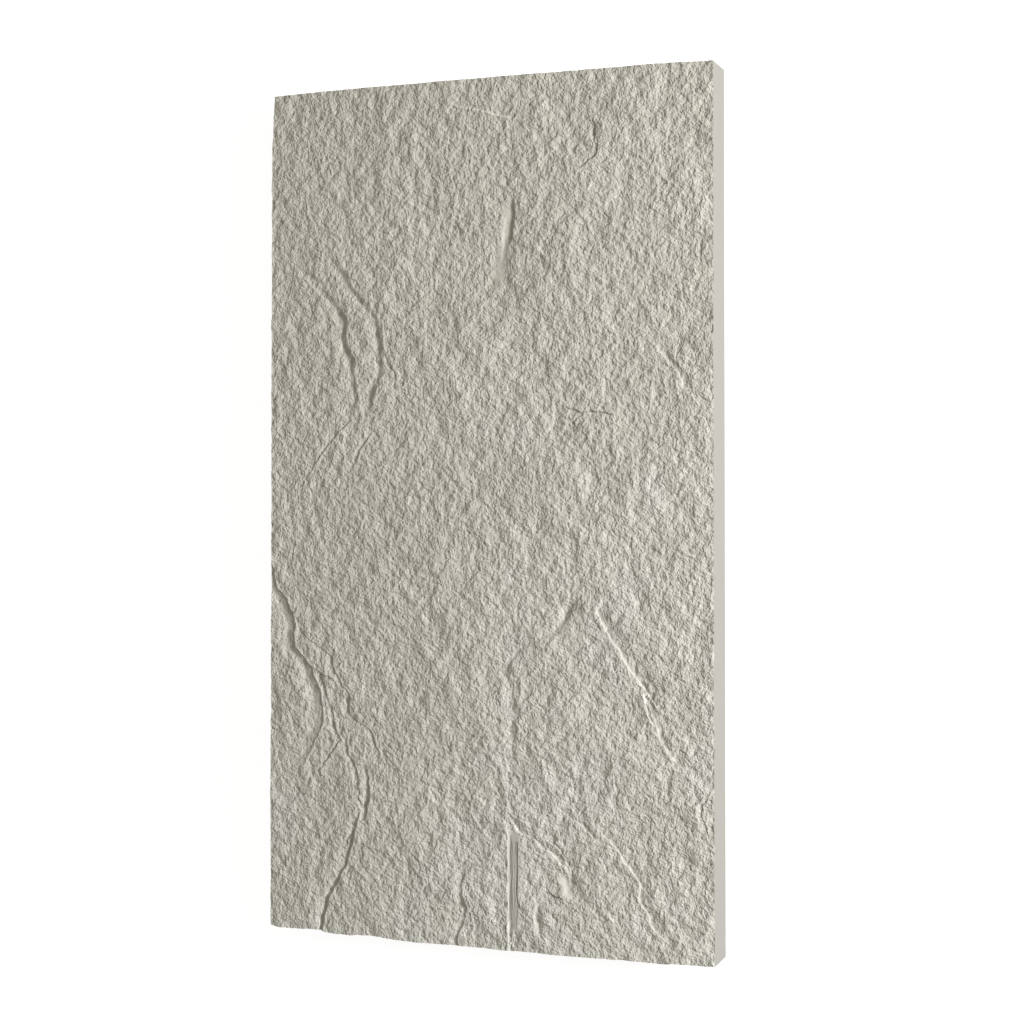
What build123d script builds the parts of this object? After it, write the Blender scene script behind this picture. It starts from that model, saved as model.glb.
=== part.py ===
"""Faux stone wall panel: one moulded board with a split-stone face.

The panel lies on its flat back, face up. X runs across it, Y along its length and Z out of the
wall. The origin is the middle of the back. Sizes are millimetres.
"""
import os
from math import exp, hypot

from build123d import *

# Board
panel_width = 600.0
panel_length = 1100.0
panel_thickness = 60.0

# The face is highest along the middle and falls a little towards the four sides
crown_across = 1.4
crown_along = 0.8

# The head is straight over this share of its length, and falls away to its two corners
head_straight_share = 0.73
head_left_drop = 1.6
head_right_drop = 2.0
# The left side leans in towards the head over this length
head_lean = 3.5
head_lean_length = 85.0

# The foot is a cast edge that was never trimmed straight. Each point is a share of the half
# width, from the middle, and how far the foot rises there
foot_rise = [
    (-1.0, 5.8), (-0.91, 3.6), (-0.85, 3.7), (-0.79, 4.8), (-0.73, 2.6), (-0.63, 1.4),
    (-0.57, 2.9), (-0.51, 3.0), (-0.44, 1.6), (-0.36, 0.5), (-0.28, 0.0), (-0.15, 0.4),
    (0.0, 0.6), (0.1, 0.0), (0.2, 0.6), (0.35, 0.2), (0.5, 0.5), (0.68, 0.5), (0.77, 0.3),
    (0.84, 2.2), (0.92, 2.2), (1.0, 2.6),
]

# Hollows worn into the face: centre x, centre y, half width, half length, depth
hollows = [
    (133.0, 475.0, 34.0, 46.0, 1.6),
    (12.0, 282.0, 26.0, 40.0, 1.5),
    (70.0, 182.0, 36.0, 44.0, 1.3),
    (182.0, 158.0, 28.0, 40.0, 1.5),
    (10.0, 22.0, 24.0, 36.0, 1.1),
    (40.0, -160.0, 40.0, 34.0, 1.5),
    (112.0, -128.0, 26.0, 26.0, 1.3),
    (48.0, -275.0, 24.0, 60.0, 1.3),
    (-262.0, 20.0, 34.0, 46.0, 1.3),
    (125.0, -455.0, 34.0, 40.0, 1.4),
]

# Points across and along that the moulded face is drawn through, and how far it runs past the
# board's sides
face_column_count = 31
face_row_count = 57
face_overrun = 10.0
face_tolerance = 0.05

# Cuts run this far above the full thickness, to clear the face
cut_clearance = 4.0
# A cleft's tip stays this far above the face, so that it runs out to nothing
tip_lift = 0.4

# Layers split off the face. Each breaks along a line of points that runs down the face: x, y and
# how deep the break is there. The broken wall runs out over its own width, and the floor climbs
# from its foot back to the face over the reach. These climb back to the left
left_clefts = {
    "upper outer": dict(
        wall=6.0, reach=14.0,
        line=[(-225, 336, 0), (-212, 324, 1.4), (-196, 306, 1.9), (-183, 286, 2.1),
              (-165, 266, 2.2), (-150, 238, 2.2), (-142, 208, 2.4), (-141, 180, 2.1),
              (-148, 158, 1.4), (-157, 124, 0)],
    ),
    "upper inner": dict(
        wall=6.5, reach=16.0,
        line=[(-240, 301, 0), (-226, 292, 1.0), (-208, 267, 1.8), (-193, 244, 2.2),
              (-188, 212, 2.5), (-181, 186, 2.3), (-174, 156, 1.8), (-176, 136, 1.0),
              (-180, 108, 0)],
    ),
    "upper split": dict(
        wall=2.5, reach=6.0,
        line=[(-137, 204, 0), (-132, 196, 1.2), (-124, 182, 1.3), (-120, 164, 0.7),
              (-118, 154, 0)],
    ),
    "middle crack": dict(
        wall=2.5, reach=6.0,
        line=[(-154, 102, 0), (-158, 95, 1.2), (-170, 78, 1.3), (-178, 61, 0.8),
              (-183, 50, 0)],
    ),
    "lower outer": dict(
        wall=3.0, reach=18.0,
        line=[(-302, -66, 1.0), (-296, -90, 2.0), (-281, -120, 2.4), (-268, -146, 2.4),
              (-260, -176, 2.2), (-244, -208, 2.2), (-229, -231, 2.2), (-223, -264, 2.0),
              (-230, -294, 1.7), (-243, -318, 1.2), (-262, -348, 0)],
    ),
    "lower inner": dict(
        wall=2.5, reach=6.0,
        line=[(-242, -202, 0), (-229, -217, 1.3), (-218, -242, 1.6), (-214, -268, 1.4),
              (-204, -294, 1.5), (-196, -306, 1.0), (-188, -318, 0)],
    ),
    "lower branch": dict(
        wall=2.5, reach=9.0,
        line=[(-248, -154, 0), (-240, -172, 1.2), (-222, -189, 1.3), (-207, -208, 1.5),
              (-196, -230, 1.6), (-184, -250, 1.9), (-183, -270, 1.8), (-165, -281, 1.6),
              (-152, -293, 1.5), (-145, -314, 0.7), (-143, -324, 0)],
    ),
    "lower link": dict(
        wall=2.5, reach=7.0,
        line=[(-191, -302, 0), (-187, -320, 1.4), (-176, -338, 1.3), (-171, -352, 0.8),
              (-170, -364, 0)],
    ),
    "left foot": dict(
        wall=2.5, reach=12.0,
        line=[(-162, -324, 0), (-157, -350, 1.4), (-159, -378, 1.7), (-170, -402, 1.7),
              (-183, -430, 1.7), (-187, -454, 1.7), (-200, -484, 2.0), (-217, -518, 2.3),
              (-226, -562, 2.6)],
    ),
    "middle foot": dict(
        wall=3.0, reach=11.0,
        line=[(-22, -448, 0), (-27, -479, 1.5), (-21, -502, 1.7), (-28, -524, 1.6),
              (-36, -562, 1.8)],
    ),
    "centre step": dict(
        wall=6.0, reach=16.0,
        line=[(126, -110, 0), (115, -130, 2.4), (95, -154, 1.8), (60, -170, 1.6),
              (38, -198, 1.4), (45, -264, 1.3), (40, -332, 0)],
    ),
}

# These climb back to the right
right_clefts = {
    "right crease": dict(
        wall=1.5, reach=22.0,
        line=[(154, -108, 0), (152, -126, 1.4), (170, -161, 2.0), (190, -189, 2.2),
              (207, -216, 2.2), (221, -248, 1.9), (230, -276, 1.9), (247, -305, 1.8),
              (268, -328, 0.8), (280, -338, 0)],
    ),
    "right foot": dict(
        wall=1.5, reach=15.0,
        line=[(156, -392, 0), (174, -418, 1.7), (196, -445, 2.0), (212, -476, 1.6),
              (220, -505, 1.5), (234, -518, 1.0), (246, -528, 0)],
    ),
    "inner foot": dict(
        wall=1.5, reach=13.0,
        line=[(38, -382, 0), (48, -400, 1.8), (72, -414, 1.4), (90, -427, 2.0),
              (107, -439, 1.9), (113, -464, 1.0), (116, -482, 0)],
    ),
    "short foot": dict(
        wall=1.5, reach=9.0,
        line=[(112, -374, 0), (124, -387, 1.2), (146, -407, 1.3), (152, -416, 0)],
    ),
    "small foot": dict(
        wall=1.5, reach=7.0,
        line=[(69, -482, 0), (70, -500, 1.6), (71, -516, 1.6), (78, -536, 0)],
    ),
    "upper right": dict(
        wall=1.5, reach=9.0,
        line=[(228, 188, 0), (238, 178, 1.0), (260, 156, 1.1), (266, 142, 0)],
    ),
}

# Furrow gouged down the upper middle of the face, from its upper tip to its lower one
furrow_head = (43.0, 390.0)
furrow_foot = (33.0, 290.0)
furrow_width = 12.0
furrow_depth = 2.4

# Straight tool mark at the foot: a steep side on the left and a floor that climbs right
tool_mark_x = 35.0
tool_mark_width = 12.5
tool_mark_wall = 1.0
tool_mark_depth = 1.8
tool_mark_top = -406.0
tool_mark_run_out = 12.0


def face_height(x, y):
    """Height of the moulded face above the back, without its clefts."""
    crown = crown_across * (2 * x / panel_width) ** 2 + crown_along * (2 * y / panel_length) ** 2
    dip = sum(
        depth * exp(-((x - cx) / across) ** 2 - ((y - cy) / along) ** 2)
        for cx, cy, across, along, depth in hollows
    )
    return panel_thickness - crown - dip


def spread(count, span):
    """Evenly spaced places over a span, from one end of it to the other, about nought."""
    return [span * (number / (count - 1) - 0.5) for number in range(count)]


def cut_section(x, y, depth, side, wall, reach):
    """Section of a cleft across the panel at y: a wall, a floor that climbs away, open above.

    Where the depth is nought the section only just clears the face.
    """
    top = panel_thickness + cut_clearance
    far_x = x + side * (wall + reach)
    floor = face_height(x, y) + (-depth if depth else tip_lift)
    points = [
        (x, top),
        (x, face_height(x, y) + tip_lift),
        (x + side * wall, floor),
        (far_x, face_height(far_x, y) + tip_lift),
        (far_x, top),
    ]
    with BuildSketch(Plane.XZ.offset(-y)) as section:
        with BuildLine():
            Polyline(*points, close=True)
        make_face()
    return section.sketch


def cleft(line, side, wall, reach):
    """Split a layer off the face beside a line that runs down it.

    The floor climbs to the left for side -1 and to the right for side 1.
    """
    sections = [cut_section(x, y, depth, side, wall, reach) for x, y, depth in line]
    loft(sections=sections, ruled=True, mode=Mode.SUBTRACT)


def furrow():
    """Furrow, cut by the edge of a long spindle that lies along the face."""
    run_x = furrow_head[0] - furrow_foot[0]
    run_y = furrow_head[1] - furrow_foot[1]
    length = hypot(run_x, run_y)
    middle_x = (furrow_head[0] + furrow_foot[0]) / 2
    middle_y = (furrow_head[1] + furrow_foot[1]) / 2
    rise = furrow_width ** 2 / (8 * furrow_depth) - furrow_depth / 2
    spindle_plane = Plane(
        origin=(middle_x, middle_y, face_height(middle_x, middle_y) + rise),
        x_dir=(run_x, run_y, 0),
        z_dir=(run_y, -run_x, 0),
    )
    with BuildSketch(spindle_plane) as profile:
        with BuildLine():
            ThreePointArc(
                (-length / 2, -rise), (0, -rise - furrow_depth), (length / 2, -rise)
            )
            Polyline((length / 2, -rise), (length / 2, 0), (-length / 2, 0), (-length / 2, -rise))
        make_face()
    spindle_axis = Axis(spindle_plane.origin, spindle_plane.x_dir)
    revolve(profiles=profile.sketch, axis=spindle_axis, mode=Mode.SUBTRACT)


half_width = panel_width / 2
half_length = panel_length / 2
with BuildPart() as stone_panel:
    with BuildSketch():
        with BuildLine():
            foot = Spline(*[(share * half_width, rise - half_length) for share, rise in foot_rise])
            Polyline(
                foot @ 1,
                (half_width, half_length - head_right_drop),
                (head_straight_share * half_width, half_length),
                (-head_straight_share * half_width, half_length),
                (head_lean - half_width, half_length - head_left_drop),
                (-half_width, half_length - head_lean_length),
                foot @ 0,
            )
        make_face()
    extrude(amount=panel_thickness + cut_clearance)

    face_grid = [
        [
            Vector(x, y, face_height(x, y))
            for y in spread(face_row_count, panel_length + 2 * face_overrun)
        ]
        for x in spread(face_column_count, panel_width + 2 * face_overrun)
    ]
    moulded_face = Face.make_surface_from_array_of_points(
        face_grid, tol=face_tolerance, min_deg=3
    )
    split(bisect_by=moulded_face, keep=Keep.BOTTOM)

    for split_layer in left_clefts.values():
        cleft(side=-1, **split_layer)
    for crease in right_clefts.values():
        cleft(side=1, **crease)
    furrow()
    cleft(
        line=[
            (tool_mark_x, tool_mark_top + tool_mark_run_out, 0),
            (tool_mark_x, tool_mark_top, tool_mark_depth),
            (tool_mark_x, -half_length - face_overrun, tool_mark_depth),
        ],
        side=1, wall=tool_mark_wall, reach=tool_mark_width,
    )

stone_panel.part.label = "stone_panel"
os.makedirs("parts", exist_ok=True)
export_step(stone_panel.part, "parts/stone_panel.step")
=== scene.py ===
"""Looks of the faux stone wall panel: a board moulded in one piece, with a split-stone face.

The panel lies on its back, face up, and the camera looks down on it. Metres throughout.
"""
import math
from dataclasses import dataclass

import bpy
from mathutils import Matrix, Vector


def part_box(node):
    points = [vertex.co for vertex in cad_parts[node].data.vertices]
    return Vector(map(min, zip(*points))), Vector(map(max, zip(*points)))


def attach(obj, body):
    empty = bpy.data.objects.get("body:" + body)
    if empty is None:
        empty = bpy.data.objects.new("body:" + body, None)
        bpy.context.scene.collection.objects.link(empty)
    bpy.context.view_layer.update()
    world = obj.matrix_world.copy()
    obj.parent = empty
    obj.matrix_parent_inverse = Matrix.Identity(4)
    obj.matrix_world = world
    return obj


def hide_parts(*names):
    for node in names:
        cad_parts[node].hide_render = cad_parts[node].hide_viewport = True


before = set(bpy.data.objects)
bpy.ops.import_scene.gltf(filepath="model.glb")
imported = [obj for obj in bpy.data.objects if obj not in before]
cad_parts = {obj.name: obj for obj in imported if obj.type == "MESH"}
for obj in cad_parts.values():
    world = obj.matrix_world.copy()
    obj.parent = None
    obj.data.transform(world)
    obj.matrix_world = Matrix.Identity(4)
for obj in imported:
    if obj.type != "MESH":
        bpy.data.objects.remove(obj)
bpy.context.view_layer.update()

# Board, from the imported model. Its length is twice the way to its straight head, because the
# wave of the foot can end a hair past the board.
panel_low, panel_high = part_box("stone_panel")
panel_width = panel_high.x - panel_low.x
panel_length = 2 * panel_high.y
panel_thickness = panel_high.z - panel_low.z
half_width = panel_width / 2
half_length = panel_length / 2

# Mesh of the face: points across and along it. Edges that turn by less than the arris angle are
# shaded smooth, and faces that look up by less than this get the side's finish.
face_columns = 230
face_rows = 422
arris_angle = math.radians(48)
side_upness = 0.05
weld_distance = 1e-5
grain_seed = 11

# The face falls from its middle towards the sides, and lies this far under the full thickness so
# that the highest of its grain still fits
crown_across = 0.0014
crown_along = 0.0008
grain_allowance = 0.0030
peak_rounding = 0.0004

# The head is straight over this share of its length and falls away to its two corners, and the
# left side leans in towards the head
head_straight_share = 0.73
head_left_drop = 0.0016
head_right_drop = 0.0020
head_lean = 0.0035
head_lean_length = 0.085
edge_blend = 0.09

# Foot of the panel: a share of the half width, from the middle, and how far the foot rises there
foot_rise = [
    (-1.0, 0.0058), (-0.91, 0.0036), (-0.85, 0.0037), (-0.79, 0.0048), (-0.73, 0.0026),
    (-0.63, 0.0014), (-0.57, 0.0029), (-0.51, 0.0030), (-0.44, 0.0016), (-0.36, 0.0005),
    (-0.28, 0.0), (-0.15, 0.0004), (0.0, 0.0006), (0.1, 0.0), (0.2, 0.0006), (0.35, 0.0002),
    (0.5, 0.0005), (0.68, 0.0005), (0.77, 0.0003), (0.84, 0.0022), (0.92, 0.0022), (1.0, 0.0026),
]

# Chips along the face's edge: how deep and how wide, the noise that they are cut from, its
# slice, the part of its range that bites, and the edge's width in steps of the mesh
edge_chip = 0.0007
edge_chip_size = 0.007
chip_grain = dict(detail=2.0, roughness=0.6)
chip_slice = 41.7
chip_range = (-0.1, 0.35)
rim_share = 0.4

# Hollows worn into the face: centre, half width, half length, depth
hollows = [
    ((0.133, 0.475), 0.034, 0.046, 0.0016),
    ((0.012, 0.282), 0.026, 0.040, 0.0015),
    ((0.070, 0.182), 0.036, 0.044, 0.0013),
    ((0.182, 0.158), 0.028, 0.040, 0.0015),
    ((0.010, 0.022), 0.024, 0.036, 0.0011),
    ((0.040, -0.160), 0.040, 0.034, 0.0015),
    ((0.112, -0.128), 0.026, 0.026, 0.0013),
    ((0.048, -0.275), 0.024, 0.060, 0.0013),
    ((-0.262, 0.020), 0.034, 0.046, 0.0013),
    ((0.125, -0.455), 0.034, 0.040, 0.0014),
]

# Stone grain moulded into the face, and the slow swells under it: patch size, height and the
# slice of the noise that they are cut from. The swells are weaker towards the left side.
moulded_grain = dict(size=0.018, height=0.0054, detail=1.0, roughness=0.90)
slow_swells = [(0.080, 0.0042, 20.1), (0.036, 0.0035, 23.4)]
calm_left_from, calm_left_to, calm_left_share = -0.22, -0.02, 0.45
grain_fineness = 1.6

# Grain too small for the mesh, which is left to the finish, and its finest tooth
fine_grain = dict(size=0.0070, detail=2.0, roughness=0.68)
fine_grain_height = 0.0038
tooth = dict(size=0.0022, detail=1.0, roughness=0.7)
tooth_height = 0.0013

# How far a broken line wanders from its points and over what length, the slices of the noise
# that this is cut from, and what brings the noise's usual swing up to 1
break_wander = 0.0011
wander_grain = dict(size=0.008, detail=2.0, roughness=0.6)
wander_slice_x, wander_slice_y = 0.37, 5.19
noise_to_whole = 7.7

# Points of the mesh move onto a break where it is this deep, and this many steps off the sides,
# unless they have moved already
snap_least_depth = 0.0004
snap_clear_steps = 2.6
least_move = 1e-7

# Smooth floor of a split: where in its wall it starts, how far into its reach it runs out, and
# the same for the flat floor of a straight mark
floor_in_wall = 0.6
floor_in_reach = 0.35
flat_floor_end = 1.1
floor_before_line = 0.0005

# Fine lines keep their full height up to the first distance and are gone at the second
line_full_reach = 0.0030
line_reach = 0.0056
least_step = 1e-6
lip_distance = 0.0018
lip_width = 0.0012
edge_into_wall = 0.001

# Fine parallel lines that the tool left in its mark, and the painted shade over the mark's floor
stripe_size = 0.0014
stripe_stretch = 0.06
stripe_height = 0.0018
mark_floor_painted_shade = 0.14
stripe_end = -0.524
stripe_fade = 0.008

# Paint of the face and of the sides. Its turn a little cooler and paler towards the foot is painted
# light. The span is what turns it from warm to neutral, or from neutral to cool.
face_paint = {
    "Warm": (0.538, 0.514, 0.436, 1), "Cool": (0.592, 0.569, 0.503, 1),
    "Patch Size": 0.13, "Unevenness": 0.08,
}
# The sides' paint is darker than the face's: partly their own tone, and partly painted shade that
# offsets the lamp falling more squarely on them
side_paint = {
    "Warm": (0.252, 0.240, 0.205, 1), "Cool": (0.251, 0.239, 0.208, 1),
    "Patch Size": 0.06, "Unevenness": 0.04,
}
cool_from, cool_full = 0.45, -0.50
cool_at_head, cool_at_foot = -0.20, 0.10
cool_span = 0.18
# Deepest painted shade that the lines and the tool mark may put into the face's colour
darkest_painted_shade = 0.8

# Lamp low on the right, the even light from all round, and the floor
lamp_side = 0.7
lamp_power = 262
lamp_colour = (1.0, 1.02, 1.075)
lamp_distance = 4.2
lamp_rise = math.radians(21)
lamp_turn = math.radians(7)
sky_colour = (1.0, 0.963, 0.877, 1)
sky_strength = 0.30
floor_size = 30
floor_colour = (0.62, 0.62, 0.62, 1)
floor_glow = 0.84

# Camera: found from the panel's six visible corners in the photograph
camera_place = (0.8544, 0.0189, 2.2231)
camera_turn = (math.radians(1.01), math.radians(20.28), 0.0)
camera_shift = (-0.010, -0.047)
camera_far = 50
focal_pixels = 1843
frame_pixels = 1024
sensor_width = 36.0


@dataclass
class Split:
    """Layer split off the face along a line of points, head first: x, y and its depth there.

    The wall falls from the line over its own width, and the floor climbs back to the face over
    the reach: side -1 is to the left, 1 to the right. The lip is a thin ridge beside the break,
    and the edge a crisp step within its wall, with painted light along it: painted shade where it
    is above nought and a painted highlight below. A soft break starts as gently as it ends, and a
    straight one doesn't wander and has a flat floor. Smoothness is the share of its grain that the
    floor has lost.
    """
    line: list
    side: int
    wall: float
    reach: float
    lip: float = 0.0
    edge: float = 0.0
    edge_width: float = 0.0010
    painted_light: float = 0.0
    soft: bool = False
    straight: bool = False
    across: bool = False
    smoothness: float = 0.7


@dataclass
class Crack:
    """Fine crack or crease along a line of points: x, y and the step's height there.

    A step falls to the right of a line that runs down, or above one that runs across; a negative
    one falls the other way. Its painted light is as in a split: painted shade above nought, a
    painted highlight below.
    """
    line: list
    width: float
    painted_light: float = 0.0
    straight: bool = False
    across: bool = False


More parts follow.
